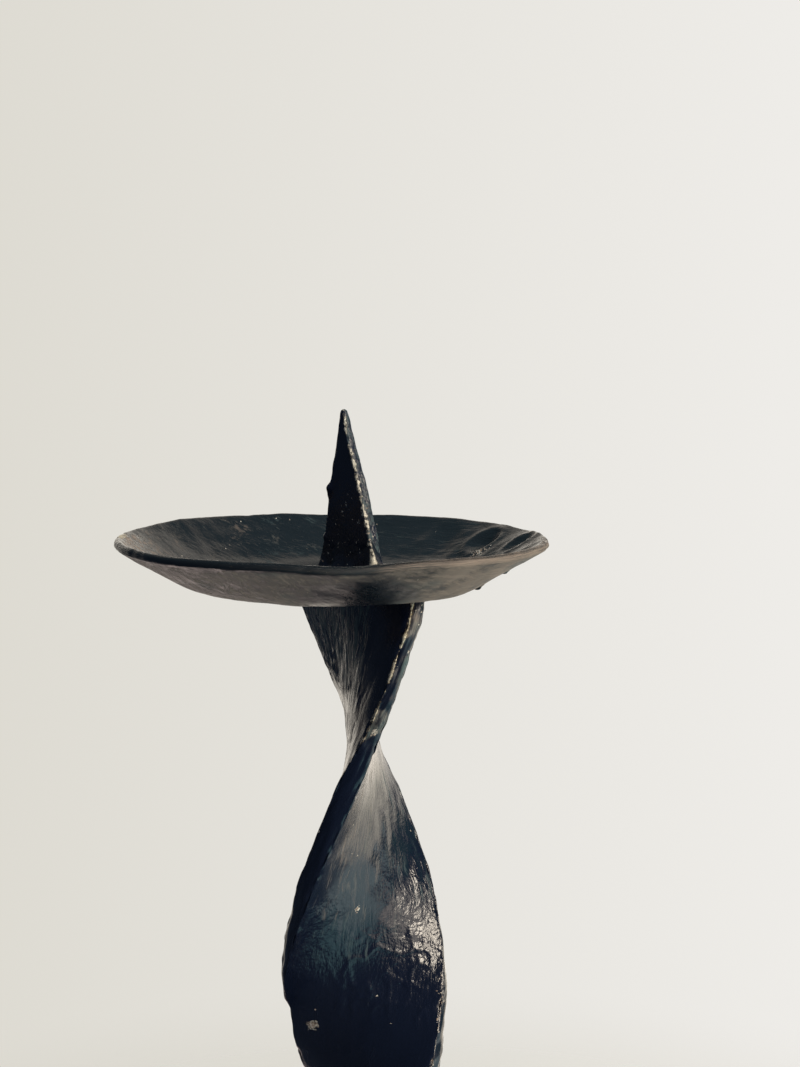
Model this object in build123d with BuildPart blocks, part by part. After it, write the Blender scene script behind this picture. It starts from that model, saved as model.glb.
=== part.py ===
from build123d import *
import os
from math import cos, pi, radians, sin, tan

# Pricket candle stand in forged iron: a twisted flat bar on a dished foot carries a dished drip pan,
# and a flat tapered spike stands up from the pan for a pillar candle.
# Sizes are millimetres and degrees. The origin is the middle of the foot on the table and +Z is up.
# The front is towards -Y, with +X to the right.

# Driving dimensions of the stem, a flat bar with its broad faces a little crowned by the hammer
BAR_WIDTH = 40.0
BAR_EDGE_THICKNESS = 5.6
BAR_CROWN = 0.6
BAR_EDGE_SWELL = 0.5
STEM_LENGTH = 200.0
TWIST = 270.0
TWIST_EASE = 9.0
BAR_TOP_ANGLE = -48.0
TWIST_STATIONS = 24
TENON_WIDTH = 21.0
TENON_THICKNESS = 5.0
SLOT_CLEARANCE = 0.15

# Driving dimensions of the foot, a dish with its hollow side down
FOOT_RADIUS = 60.0
FOOT_HEIGHT = 17.0
FOOT_PLATE = 3.0
FOOT_CROWN_RADIUS = 24.0
FOOT_BEND_RADIUS = 35.0
FOOT_SLOPE = 31.0
FOOT_LIP_ROUND = 0.8

# Driving dimensions of the drip pan, set a little off centre and a little out of level by hand
PAN_RADIUS = 51.7
PAN_PLATE = 2.0
PAN_FLOOR_RADIUS = 27.0
PAN_BEND_RADIUS = 22.0
PAN_SLOPE = 30.0
PAN_LIP_ROUND = 0.6
PAN_OFFSET = -6.0
PAN_TILT = 1.0

# Driving dimensions of the spike, whose long edges have a slight knuckle part way up
SPIKE_LENGTH = 40.4
SPIKE_ROOT_WIDTH = 20.5
SPIKE_ROOT_THICKNESS = 3.6
SPIKE_KNUCKLE_HEIGHT = 21.4
SPIKE_KNUCKLE_WIDTH = 11.2
SPIKE_KNUCKLE_THICKNESS = 2.9
SPIKE_NECK_HEIGHT = 35.0
SPIKE_NECK_WIDTH = 3.3
SPIKE_NECK_THICKNESS = 2.3
SPIKE_TIP_WIDTH = 1.2
SPIKE_ARRIS = 0.35
SPIKE_OFFSET = -1.0
SPIKE_LEAN = 3.2

# Driving dimensions of the welds: how far each spreads beside the iron and how far it climbs along it
SPIKE_WELD_SPREAD = 3.6
SPIKE_WELD_WAIST = 3.0
SPIKE_WELD_WAIST_SPREAD = 1.0
SPIKE_WELD_CLIMB = 8.5
SPIKE_WELD_EDGE = 0.4
FOOT_WELD_SPREAD = 5.0
FOOT_WELD_CLIMB = 3.5
FOOT_WELD_EDGE = 1.6

# Levels and frames that follow from them
CROWN_UNDERSIDE = FOOT_HEIGHT - FOOT_PLATE
SEAT_HEIGHT = FOOT_HEIGHT + STEM_LENGTH
pan_across = Vector(cos(radians(PAN_TILT)), 0, -sin(radians(PAN_TILT)))
pan_up = Vector(sin(radians(PAN_TILT)), 0, cos(radians(PAN_TILT)))
bar_top_along = pan_across * cos(radians(BAR_TOP_ANGLE)) + Vector(0, sin(radians(BAR_TOP_ANGLE)), 0)
seat_middle = Vector(0, 0, SEAT_HEIGHT)
pan_middle = seat_middle + pan_across * PAN_OFFSET
pan_section = Plane(origin=pan_middle, x_dir=pan_across, z_dir=(0, -1, 0))
pan_axis = Axis(pan_middle, pan_up)

os.makedirs("parts", exist_ok=True)


def bar_angle(height):
    """Turn of the bar's broad faces at a height above the foot: the twist slows towards both ends."""
    from_middle = height - STEM_LENGTH / 2
    ease = TWIST_EASE * sin(2 * pi * from_middle / STEM_LENGTH)
    return BAR_TOP_ANGLE + TWIST * (height / STEM_LENGTH - 1) + ease


def pan_level(across, up):
    """Plane parallel to the pan's floor, measured from its seat's middle, in line with the bar's top."""
    return Plane(seat_middle + pan_across * across + pan_up * up, x_dir=bar_top_along, z_dir=pan_up)


def spike_level(height):
    """Plane across the leaning spike at a height above the pan's floor."""
    return pan_level(SPIKE_OFFSET - height * tan(radians(SPIKE_LEAN)), PAN_PLATE + height)


def spike_width(height):
    """Width of the spike between its root and its knuckle."""
    share = height / SPIKE_KNUCKLE_HEIGHT
    return SPIKE_ROOT_WIDTH + share * (SPIKE_KNUCKLE_WIDTH - SPIKE_ROOT_WIDTH)


def spike_thickness(height):
    """Thickness of the spike between its root and its knuckle."""
    share = height / SPIKE_KNUCKLE_HEIGHT
    return SPIKE_ROOT_THICKNESS + share * (SPIKE_KNUCKLE_THICKNESS - SPIKE_ROOT_THICKNESS)


def dish_face(floor_radius, bend_radius, slope, radius, lift):
    """Outline of one face of a dish, lift above its outer face. Gives its middle and its lip."""
    floor = Line((0, lift), (floor_radius, lift))
    bend = JernArc(floor @ 1, floor % 1, bend_radius - lift, slope)
    wall_length = (radius - floor_radius - bend_radius * sin(radians(slope))) / cos(radians(slope))
    wall = PolarLine(bend @ 1, wall_length, direction=bend % 1)
    return floor @ 0, wall @ 1


def pan_face(lift):
    """Outline of the drip pan's underside, or of a face above it."""
    return dish_face(PAN_FLOOR_RADIUS, PAN_BEND_RADIUS, PAN_SLOPE, PAN_RADIUS, lift)


def foot_face(lift):
    """Outline of the foot's upper side, or of a face inside it."""
    return dish_face(FOOT_CROWN_RADIUS, FOOT_BEND_RADIUS, FOOT_SLOPE, FOOT_RADIUS, lift)


# Drip pan: a dish with a rounded lip and a slot for the stem's upper tenon
with BuildPart() as drip_pan:
    with BuildSketch(pan_section):
        with BuildLine():
            under_middle, under_lip = pan_face(0)
            inner_middle, inner_lip = pan_face(PAN_PLATE)
            Line(under_middle, inner_middle)
            Line(under_lip, inner_lip)
        make_face()
    revolve(axis=pan_axis)
    fillet(drip_pan.edges().filter_by(GeomType.CIRCLE).sort_by(SortBy.RADIUS)[-2:], PAN_LIP_ROUND)
    with BuildSketch(pan_level(0, 0)):
        Rectangle(TENON_WIDTH + 2 * SLOT_CLEARANCE, TENON_THICKNESS + 2 * SLOT_CLEARANCE)
    extrude(amount=PAN_PLATE, mode=Mode.SUBTRACT)

# Stem: the crowned section turns as it climbs, and its top end is cut to the pan's slight tilt
with BuildPart() as stem_bar:
    for station in range(TWIST_STATIONS + 1):
        height = (STEM_LENGTH + PAN_PLATE) * station / TWIST_STATIONS
        with BuildSketch(Plane.XY.offset(FOOT_HEIGHT + height).rotated((0, 0, bar_angle(height)))):
            half_width = BAR_WIDTH / 2 - BAR_EDGE_SWELL
            half_edge = BAR_EDGE_THICKNESS / 2
            with BuildLine():
                front_face = ThreePointArc(
                    (-half_width, -half_edge), (0, -half_edge - BAR_CROWN), (half_width, -half_edge)
                )
                right_edge = ThreePointArc(front_face @ 1, (BAR_WIDTH / 2, 0), (half_width, half_edge))
                back_face = ThreePointArc(
                    right_edge @ 1, (0, half_edge + BAR_CROWN), (-half_width, half_edge)
                )
                ThreePointArc(back_face @ 1, (-BAR_WIDTH / 2, 0), front_face @ 0)
            make_face()
    loft()
    split(bisect_by=pan_level(0, 0), keep=Keep.BOTTOM)
    with BuildSketch(pan_level(0, 0)):
        Rectangle(TENON_WIDTH, TENON_THICKNESS)
    extrude(amount=PAN_PLATE)
    with BuildSketch(Plane.XY.offset(FOOT_HEIGHT).rotated((0, 0, bar_angle(0)))):
        Rectangle(TENON_WIDTH, TENON_THICKNESS)
    extrude(amount=-FOOT_PLATE - FOOT_WELD_CLIMB)

# Spike: a flat blade that tapers to a blunt point, standing on the tenon inside the pan
with BuildPart() as pricket_spike:
    for height, width, thickness in (
        (0, SPIKE_ROOT_WIDTH, SPIKE_ROOT_THICKNESS),
        (SPIKE_KNUCKLE_HEIGHT, SPIKE_KNUCKLE_WIDTH, SPIKE_KNUCKLE_THICKNESS),
        (SPIKE_NECK_HEIGHT, SPIKE_NECK_WIDTH, SPIKE_NECK_THICKNESS),
        (SPIKE_LENGTH, SPIKE_TIP_WIDTH, SPIKE_TIP_WIDTH),
    ):
        with BuildSketch(spike_level(height)):
            RectangleRounded(width, thickness, SPIKE_ARRIS)
    loft(ruled=True)

# Weld round the spike's root: a low skirt on the pan's floor that runs up the spike
with BuildPart() as spike_weld:
    for height, spread in (
        (0, SPIKE_WELD_SPREAD),
        (SPIKE_WELD_WAIST, SPIKE_WELD_WAIST_SPREAD),
        (SPIKE_WELD_CLIMB, SPIKE_WELD_EDGE),
    ):
        with BuildSketch(spike_level(height)):
            RectangleRounded(spike_width(height) + 2 * spread, spike_thickness(height) + 2 * spread, spread)
    loft(ruled=True)
    add(pricket_spike.part, mode=Mode.SUBTRACT)

# Foot: the same kind of dish upside down, cut flat where it rests, with a slot for the stem's lower tenon
with BuildPart() as foot_dish:
    with BuildSketch(Plane((0, 0, FOOT_HEIGHT), x_dir=(1, 0, 0), z_dir=(0, 1, 0))):
        with BuildLine():
            crown_middle, crown_lip = foot_face(0)
            inside_middle, inside_lip = foot_face(FOOT_PLATE)
            Line(crown_middle, inside_middle)
            Line(crown_lip, inside_lip)
        make_face()
    revolve(axis=Axis.Z)
    split(bisect_by=Plane.XY, keep=Keep.TOP)
    fillet(foot_dish.edges().filter_by(GeomType.CIRCLE).sort_by(SortBy.RADIUS)[-1], FOOT_LIP_ROUND)
    with BuildSketch(Plane.XY.offset(CROWN_UNDERSIDE).rotated((0, 0, bar_angle(0)))):
        Rectangle(TENON_WIDTH + 2 * SLOT_CLEARANCE, TENON_THICKNESS + 2 * SLOT_CLEARANCE)
    extrude(amount=FOOT_PLATE, mode=Mode.SUBTRACT)

# Weld under the foot: a bead round the end of the stem's lower tenon
with BuildPart() as foot_weld:
    for drop, spread in ((0, FOOT_WELD_SPREAD), (FOOT_WELD_CLIMB, FOOT_WELD_EDGE)):
        with BuildSketch(Plane.XY.offset(CROWN_UNDERSIDE - drop).rotated((0, 0, bar_angle(0)))):
            RectangleRounded(TENON_WIDTH + 2 * spread, TENON_THICKNESS + 2 * spread, spread)
    loft(ruled=True)
    add(stem_bar.part, mode=Mode.SUBTRACT)

drip_pan.part.label = "drip_pan"
stem_bar.part.label = "stem_bar"
pricket_spike.part.label = "pricket_spike"
spike_weld.part.label = "spike_weld"
foot_dish.part.label = "foot_dish"
foot_weld.part.label = "foot_weld"

export_step(drip_pan.part, "parts/drip_pan.step")
export_step(stem_bar.part, "parts/stem_bar.step")
export_step(pricket_spike.part, "parts/pricket_spike.step")
export_step(spike_weld.part, "parts/spike_weld.step")
export_step(foot_dish.part, "parts/foot_dish.step")
export_step(foot_weld.part, "parts/foot_weld.step")
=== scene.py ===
# %% [markdown]
# # A forged pricket candle stand
# A smith makes this stand from flat iron: a bar is twisted hot, a dished foot goes under it and a hammered
# drip pan on top of it, and a flat spike, the pricket, is welded inside the pan to hold a pillar candle.
# Everything is then brushed with thick black lacquer.
# The solids of the stand are already packed, with their true sizes. This lesson loads them as a fixed frame
# and builds a closer surface over each one: hammer marks, worn edges, weld ripples and runs of lacquer.

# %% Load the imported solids
import math

import bpy
import numpy as np
from mathutils import Matrix, Vector


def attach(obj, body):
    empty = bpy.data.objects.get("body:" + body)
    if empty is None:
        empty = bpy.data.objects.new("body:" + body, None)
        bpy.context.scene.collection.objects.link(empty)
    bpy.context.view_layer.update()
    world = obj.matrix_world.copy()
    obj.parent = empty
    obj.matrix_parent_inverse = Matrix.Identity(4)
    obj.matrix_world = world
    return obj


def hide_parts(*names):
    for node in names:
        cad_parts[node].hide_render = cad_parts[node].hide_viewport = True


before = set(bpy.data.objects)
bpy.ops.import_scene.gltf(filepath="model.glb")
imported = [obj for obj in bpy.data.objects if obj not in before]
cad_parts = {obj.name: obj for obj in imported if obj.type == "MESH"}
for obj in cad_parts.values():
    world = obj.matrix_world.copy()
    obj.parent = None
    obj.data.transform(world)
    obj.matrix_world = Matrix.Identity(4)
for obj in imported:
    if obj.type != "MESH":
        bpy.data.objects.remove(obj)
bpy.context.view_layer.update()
MM = 0.001
print("solids:", ", ".join(sorted(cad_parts)))

# %% [markdown]
# ## The view
# The picture was taken from about arm's length, a little above the pan, with the stand left of the middle.
# A camera could be pushed about by eye, but it is quicker to say what it has to show: one mark on the
# stand's axis, level with the pan's lip, falls on one pixel, at a known distance, height and focal length.
# The camera is also rolled by about a degree, because the stem leans a little in the picture.

# %% Camera at the picture's viewing angle
IMAGE_WIDTH = 800
IMAGE_HEIGHT = 1067
SENSOR_SIZE = 36.0
FOCAL_PIXELS = 1676.0
VIEW_DISTANCE = 400 * MM
VIEW_ELEVATION = math.radians(6.9)
VIEW_ROLL = math.radians(0.96)
VIEW_MARK = Vector((0, 0, 228.5 * MM))
VIEW_MARK_PIXEL = (356.8, 539.0)

level_back = Vector((0, -math.cos(VIEW_ELEVATION), math.sin(VIEW_ELEVATION)))
level_up = Vector((0, math.sin(VIEW_ELEVATION), math.cos(VIEW_ELEVATION)))
level_axes = Matrix((Vector((1, 0, 0)), level_up, level_back)).transposed()
mark_ray = Vector((
    VIEW_MARK_PIXEL[0] - IMAGE_WIDTH / 2,
    IMAGE_HEIGHT / 2 - VIEW_MARK_PIXEL[1],
    -FOCAL_PIXELS,
))
aim = Vector((0, 0, -1)).rotation_difference(mark_ray).to_matrix()
camera_axes = level_axes @ Matrix.Rotation(-VIEW_ROLL, 3, "Z") @ aim.inverted()

camera_data = bpy.data.cameras.new("photo_view")
camera_data.sensor_width = SENSOR_SIZE
camera_data.lens = FOCAL_PIXELS * SENSOR_SIZE / IMAGE_HEIGHT
camera_data.clip_start = 10 * MM
camera = bpy.data.objects.new("photo_view", camera_data)
camera.matrix_world = Matrix.Translation(VIEW_MARK + level_back * VIEW_DISTANCE) @ camera_axes.to_4x4()
bpy.context.scene.collection.objects.link(camera)
bpy.context.scene.camera = camera
bpy.context.scene.view_settings.view_transform = "Standard"
print(f"camera lens {camera_data.lens:.2f} mm, {VIEW_DISTANCE / MM:.0f} mm from the stem")

# %% [markdown]
# ## Colours and nodes
# Colours are written as the hex values that a painter would pick on screen. Blender's shaders want linear
# light, so one function turns a hex value into it. A second small function adds any node: it sets the node's
# own settings and fills each input with a plain value or with a link from another node.

# %% Helpers for colours and nodes
def paint(hex_value):
    """Linear colour, with alpha, of an sRGB hex value such as "8B857D"."""
    shares = [int(hex_value[i:i + 2], 16) / 255 for i in (0, 2, 4)]
    return [s / 12.92 if s <= 0.04045 else ((s + 0.055) / 1.055) ** 2.4 for s in shares] + [1.0]


def add(tree, kind, inputs, **settings):
    """Adds a node, sets its own settings, and fills each named input with a value or a link."""
    node = tree.nodes.new("ShaderNode" + kind)
    for name, value in settings.items():
        setattr(node, name, value)
    for name, value in inputs.items():
        if isinstance(value, bpy.types.NodeSocket):
            tree.links.new(value, node.inputs[name])
        else:
            node.inputs[name].default_value = value
    return node


print("a taupe in linear light:", [round(share, 3) for share in paint("8B857D")])

# %% [markdown]
# ## Studio
# Black gloss shows little but what it mirrors, so the room matters more than the lamps. The picture has a pale
# wall behind, a window in front on the right with a pale sill under it, and a dim room on the left.
# The world stands in for that room: the camera sees only the pale wall, and the gloss sees a few soft patches
# of light, each with a heading and a level. They could be lamps, but a lamp would also light the iron.

# %% World: the pale wall that the camera sees
WALL_LEFT = paint("DCD9D0")
WALL_RIGHT = paint("EEECE8")
WALL_TURN = 0.25

world = bpy.data.worlds.new("pale_room")
bpy.context.scene.world = world
world.use_nodes = True
tree = world.node_tree
tree.nodes.clear()
heading = add(tree, "TexCoord", {}).outputs["Generated"]
across_wall = add(tree, "SeparateXYZ", {"Vector": heading}).outputs["X"]
wall_side = add(tree, "MapRange", {
    "Value": across_wall, "From Min": -WALL_TURN, "From Max": WALL_TURN,
}).outputs[0]
wall = add(tree, "Mix", {0: wall_side, 6: WALL_LEFT, 7: WALL_RIGHT}, data_type="RGBA").outputs[2]
print("wall, left and right, in linear light:", round(WALL_LEFT[0], 2), round(WALL_RIGHT[0], 2))

# %% World: the patches of light that the gloss sees
ROOM_DARK = paint("3A4454")
# Name, bearing and height in degrees, flattening, radii of the even core and of the rim in degrees, level, colour
ROOM_PATCHES = (
    ("wall", 5, -2, 2.8, 26, 57, 1.40, "FFF6E8"),
    ("wall_top", 10, 15, 1.0, 15, 40, 0.55, "FFF6E8"),
    ("shelf", 13, -27, 1.0, 10, 22, 2.20, "FFF4E4"),
    ("corner_left", 32, -17, 1.0, 9, 18, 1.65, "FFF5E0"),
    ("corner_right", 60, -20, 1.0, 10, 20, 1.85, "FFF5E0"),
    ("sill_left", 86, -29, 1.0, 9, 22, 1.50, "DFF3F0"),
    ("sill_middle", 108, -26, 1.0, 11, 26, 1.85, "DCF5F1"),
    ("sill_right", 130, -34, 1.0, 14, 30, 1.30, "A6DEDF"),
    ("curtain", 128, 10, 1.0, 8, 26, 2.80, "FFF3E4"),
    ("ceiling", 0, 80, 1.0, 18, 72, 0.25, "B8DCE8"),
    ("table", -22, -42, 1.0, 8, 16, 2.10, "FFE9E0"),
    ("doorway", 78, 2, 1.0, 10, 24, 0.45, "6FB5A0"),
)


def room_heading(bearing, elevation):
    """Unit vector for a bearing, clockwise from the wall behind, and a height above the horizon, in degrees."""
    turn, lift = math.radians(bearing), math.radians(elevation)
    return Vector((math.sin(turn) * math.cos(lift), math.cos(turn) * math.cos(lift), math.sin(lift)))


room_light = ROOM_DARK[:3]
for _, bearing, elevation, flat, core, reach, level, colour in ROOM_PATCHES:
    flatten = Vector((1, 1, flat))
    tall = add(tree, "VectorMath", {0: heading, 1: flatten}, operation="MULTIPLY").outputs[0]
    even = add(tree, "VectorMath", {0: tall}, operation="NORMALIZE").outputs[0]
    middle = (room_heading(bearing, elevation) * flatten).normalized()
    facing_patch = add(tree, "VectorMath", {0: even, 1: middle}, operation="DOT_PRODUCT").outputs["Value"]
    share = add(tree, "MapRange", {
        "Value": facing_patch, "To Min": 0.0, "To Max": level,
        "From Min": math.cos(math.radians(reach)), "From Max": math.cos(math.radians(core)),
    }, interpolation_type="SMOOTHSTEP").outputs[0]
    patch = add(tree, "VectorMath", {0: paint(colour)[:3], "Scale": share}, operation="SCALE").outputs[0]
    room_light = add(tree, "VectorMath", {0: room_light, 1: patch}, operation="MAXIMUM").outputs[0]

path = add(tree, "LightPath", {})
room = add(tree, "Background", {"Color": room_light, "Strength": 1.0})
backdrop = add(tree, "Background", {"Color": wall, "Strength": 1.0})
seen = add(tree, "MixShader", {0: path.outputs["Is Camera Ray"], 1: room.outputs[0], 2: backdrop.outputs[0]})
add(tree, "OutputWorld", {"Surface": seen.outputs[0]})
print("room patches:", ", ".join(patch[0] for patch in ROOM_PATCHES))

# %% [markdown]
# ## Floor
# The stand needs something pale to stand on and to throw its shadow on. A large plane would show a horizon
# line in views from above. A matt disc that turns clear towards its rim has none, so it melts into the wall.
# The gloss does not see it, because the patches of the room already stand for what lies below.

# %% Floor that fades into the wall
FLOOR_RADIUS = 900 * MM
FLOOR_SOLID_RADIUS = 110 * MM
FLOOR_FADE_RADIUS = 300 * MM

bpy.ops.mesh.primitive_circle_add(vertices=96, radius=FLOOR_RADIUS, fill_type="NGON", location=(0, 0, 0))
floor = bpy.context.object
floor.name = "floor"
# Matt emulsion: an even pale grey without any shine
floor_paint = bpy.data.materials.new("matt pale floor")
floor_paint.use_nodes = True
tree = floor_paint.node_tree
tree.nodes.clear()
place = add(tree, "NewGeometry", {})
away = add(tree, "VectorMath", {0: place.outputs["Position"]}, operation="LENGTH").outputs["Value"]
fade = add(tree, "MapRange", {
    "Value": away, "From Min": FLOOR_SOLID_RADIUS, "From Max": FLOOR_FADE_RADIUS,
}, interpolation_type="SMOOTHSTEP").outputs[0]
unseen = add(tree, "Math", {0: fade, 1: place.outputs["Backfacing"]}, operation="MAXIMUM").outputs[0]
chalk = add(tree, "BsdfDiffuse", {"Color": paint("EEECE6")})
clear = add(tree, "BsdfTransparent", {})
blend = add(tree, "MixShader", {0: unseen, 1: chalk.outputs[0], 2: clear.outputs[0]})
add(tree, "OutputMaterial", {"Surface": blend.outputs[0]})
floor.data.materials.append(floor_paint)
floor.visible_glossy = False
print(f"floor: solid to {FLOOR_SOLID_RADIUS / MM:.0f} mm, gone by {FLOOR_FADE_RADIUS / MM:.0f} mm")

# %% [markdown]
# ## Lamps
# Two soft boxes light the stand. A small warm window in front on the right draws the crisp glints on wet-looking
# lacquer, and a wide fill overhead keeps the hollow of the pan from going dead black. The fill stays out of
# reflections, because a broad white square in the gloss would look like a studio and not like a room.

# %% A window and a soft fill
LIGHT_TARGET = Vector((0, 0, 170 * MM))


def soft_box(name, heading, distance, width, height, watts, colour):
    """A flat lamp that faces the stand from a heading."""
    lamp = bpy.data.lights.new(name, "AREA")
    lamp.shape = "RECTANGLE"
    lamp.size = width
    lamp.size_y = height
    lamp.energy = watts
    lamp.color = colour[:3]
    box = bpy.data.objects.new(name, lamp)
    box.location = LIGHT_TARGET + heading * distance
    box.rotation_euler = (LIGHT_TARGET - box.location).to_track_quat("-Z", "Y").to_euler()
    bpy.context.scene.collection.objects.link(box)
    return box


soft_box("window", room_heading(132, 24), 0.90, 0.32, 0.28, 6.0, paint("FFF2DE"))
fill = soft_box("ceiling_fill", room_heading(60, 80), 1.20, 1.20, 1.20, 8.5, paint("FFFAF2"))
fill.visible_glossy = False
print("lamps:", ", ".join(lamp.name for lamp in bpy.data.lights))

# %% [markdown]
# ## Marks of the hand
# Forged iron is never flat. It could be sculpted by hand, but a few helpers that work on plain arrays of points,
# in millimetres, give every mark a real size. One adds up many soft waves with headings drawn from a seeded
# generator, which gives a swell without any repeat. Another sinks shallow round hammer dents, and where two
# dents overlap the deeper one wins, which leaves the crisp ridges of real hammer work. The rest say where a
# mark begins and ends.

# %% Helpers for marks
def swell(points, size, seed, count=30):
    """Smooth random heights, mostly within -1 to 1, with bumps about size millimetres across."""
    draw = np.random.default_rng(seed)
    headings = draw.normal(size=(count, points.shape[1]))
    headings /= np.linalg.norm(headings, axis=1, keepdims=True)
    paces = math.pi / size * draw.uniform(0.5, 1.6, size=(count, 1))
    starts = draw.uniform(0, 2 * math.pi, size=count)
    return np.cos(points @ (headings * paces).T + starts).sum(axis=1) / math.sqrt(count)


def hammer(points, spots, radii, depths):
    """How far hammer blows have sunk each point, in millimetres."""
    sunk = np.zeros(len(points))
    for spot, radius, depth in zip(spots, radii, depths):
        away = ((points - spot) ** 2).sum(axis=1) / radius ** 2
        sunk = np.maximum(sunk, depth * (1 - away))
    return sunk


def bell(away, reach):
    """A smooth bump: 1 at no distance, nearly 0 at twice the reach."""
    return np.exp(-(away / reach) ** 2)


def ramp(values, start, end):
    """0 before start, 1 past end, and a smooth climb between them."""
    share = np.clip((values - start) / (end - start), 0, 1)
    return share * share * (3 - 2 * share)


def crease(points, size, seed, thin=0.35):
    """Thin wandering ridges, from 0 to 1, along the lines where a swell passes through nought."""
    return np.clip(1 - np.abs(swell(points, size, seed)) / thin, 0, 1)


waviness = swell(np.random.default_rng(1).uniform(0, 100, size=(500, 3)), 5.0, 1)
print(f"a swell runs from {waviness.min():.2f} to {waviness.max():.2f}")

# %% [markdown]
# ## Rings and pieces
# Every part of this stand can be drawn as rings of points: rings up the bar, rings up the spike, rings out
# from the middle of the pan. Flat iron has one kind of ring, a rectangle with softened corners, so it is
# described once, by what share of the width and of the thickness each point takes.

# %% Helpers for rings
CORNER_POINTS = 5


def iron_ring(broad_points, narrow_points):
    """Points round a flat bar: the corner or side that each is on, and the way it faces."""
    spots = []
    for turn, count in enumerate((broad_points, narrow_points, broad_points, narrow_points)):
        quarter = turn * math.pi / 2
        for share in np.linspace(-1, 1, count):
            spots.append(((share, -1.0), (0.0, -1.0), quarter))
        for corner in range(1, CORNER_POINTS):
            lean = corner / CORNER_POINTS * math.pi / 2
            spots.append(((1.0, -1.0), (math.sin(lean), -math.cos(lean)), quarter))
    ring = np.array([side + facing for side, facing, _ in spots])
    quarters = np.array([quarter for _, _, quarter in spots])
    cos, sin = np.round(np.cos(quarters)), np.round(np.sin(quarters))
    sides = np.stack([ring[:, 0] * cos - ring[:, 1] * sin, ring[:, 0] * sin + ring[:, 1] * cos], axis=1)
    faces = np.stack([ring[:, 2] * cos - ring[:, 3] * sin, ring[:, 2] * sin + ring[:, 3] * cos], axis=1)
    return sides, faces


def stacked(sides, facing, levels):
    """A ring's sides, across and through, and its facings, repeated for every level of a piece."""
    return [np.tile(column, levels) for column in (sides[:, 0], sides[:, 1], facing[:, 0], facing[:, 1])]


def ring_faces(rings, around, loop=False):
    """Quads of a tube made of rings with the same number of points. A loop also joins last to first."""
    ring, step = np.meshgrid(np.arange(rings if loop else rings - 1), np.arange(around), indexing="ij")
    above, after = (ring + 1) % rings, (step + 1) % around
    corners = (ring * around + step, ring * around + after, above * around + after, above * around + step)
    return np.stack(corners, axis=-1).reshape(-1, 4).tolist()


def closed_tube(rings, around):
    """Quads of a tube, with one flat face over each end."""
    last = (rings - 1) * around
    return ring_faces(rings, around) + [list(range(around))[::-1], list(range(last, last + around))]


print("points round a small bar:", len(iron_ring(6, 3)[0]))

# %% Helper for pieces
# What a finish reads at each point: lacquer worn off, in places a painted highlight; dry bloom, in places painted
# reflection and shade, and its tint; grit, dullness, calm and chips
PLAIN_MARKS = {"wear_and_glint": 0.0, "bloom_and_painted_light": 0.2, "tint": 0.5, "grit": 0.3, "dull": 0.0, "smooth": 0.0, "chips": 0.0}


def piece(name, points, faces, marks, slot, *nodes):
    """A smooth mesh, from points in millimetres, that stands for solids. Its finish reads the marks."""
    mesh = bpy.data.meshes.new(name)
    mesh.from_pydata((points * MM).tolist(), [], faces)
    mesh.shade_smooth()
    for label, values in (PLAIN_MARKS | marks).items():
        values = np.full(len(points), values) if np.ndim(values) == 0 else values
        kind, field = ("FLOAT_VECTOR", "vector") if values.ndim == 2 else ("FLOAT", "value")
        layer = mesh.attributes.new(label, kind, "POINT")
        layer.data.foreach_set(field, values.astype(np.float32).ravel())
    body = bpy.data.objects.new(name, mesh)
    bpy.context.scene.collection.objects.link(body)
    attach(body, "root")
    if nodes:
        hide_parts(*nodes)
    print(f"{name}: {len(points)} points, {len(faces)} faces")
    return body


print("marks that a finish reads:", ", ".join(PLAIN_MARKS))

# %% [markdown]
# ## The twisted bar
# The stem is flat bar, heated and wrenched round by three quarters of a turn. A twist could be a Simple Deform
# modifier on a box, but then the hammer marks would have to be sculpted in afterwards. Here each ring of the
# bar is placed by a formula that turns it as it climbs, so the marks can be worked out on the flat bar, where
# across, along and through are plain directions, and they twist with it. The bar's top was beaten out wider.

# %% The flat bar
STEM_LENGTH = 200.0
BAR_WIDTH = 40.0
BAR_EDGE_THICKNESS = 5.6
BAR_CROWN = 0.6
BAR_EDGE_SWELL = 0.5
BAR_CORNER = 0.45
BAR_RING_SPACING = 0.44
TOP_BEVEL = 2.0
TOP_FLARE = 1.7

sides, facing = iron_ring(78, 10)
bar_points = len(sides)
half_width = BAR_WIDTH / 2 - BAR_EDGE_SWELL
half_edge = BAR_EDGE_THICKNESS / 2
section_across = sides[:, 0] * (half_width - BAR_CORNER) + facing[:, 0] * BAR_CORNER
section_across += facing[:, 0] * BAR_EDGE_SWELL * (1 - sides[:, 1] ** 2)
section_through = sides[:, 1] * (half_edge - BAR_CORNER) + facing[:, 1] * BAR_CORNER
section_through += facing[:, 1] * BAR_CROWN * (1 - sides[:, 0] ** 2)

bar_rings = int(STEM_LENGTH / BAR_RING_SPACING) + 1
along = np.repeat(np.linspace(0, STEM_LENGTH, bar_rings), bar_points)
across = np.tile(section_across, bar_rings)
through = np.tile(section_through, bar_rings)
corner_gap = np.hypot(np.abs(across) - half_width, np.abs(through) - half_edge)
arris = bell(corner_gap, 0.9)
on_edge = np.clip((np.abs(across) - half_width + 1.0) / 0.8, 0, 1)
right_half = np.clip(across / 20, 0, None)
left_half = np.clip(-across / 20, 0, None)
bevel_share = np.clip((half_edge - through) / (2 * half_edge), 0, 1)
through = through + TOP_BEVEL * right_half ** 3 * ramp(along, 156, 170) * bevel_share
across = across + TOP_FLARE * right_half ** 2 * ramp(along, 168, 184) \
    - TOP_FLARE * left_half ** 2 * ramp(along, 183, 196)
print(f"flat bar: {bar_rings} rings of {bar_points} points")

# %% Where the lacquer lies rough on the bar
upper_face = np.clip(-through - 1.5, 0, 1)
lower_face = np.clip(through - 1.5, 0, 1)


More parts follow.
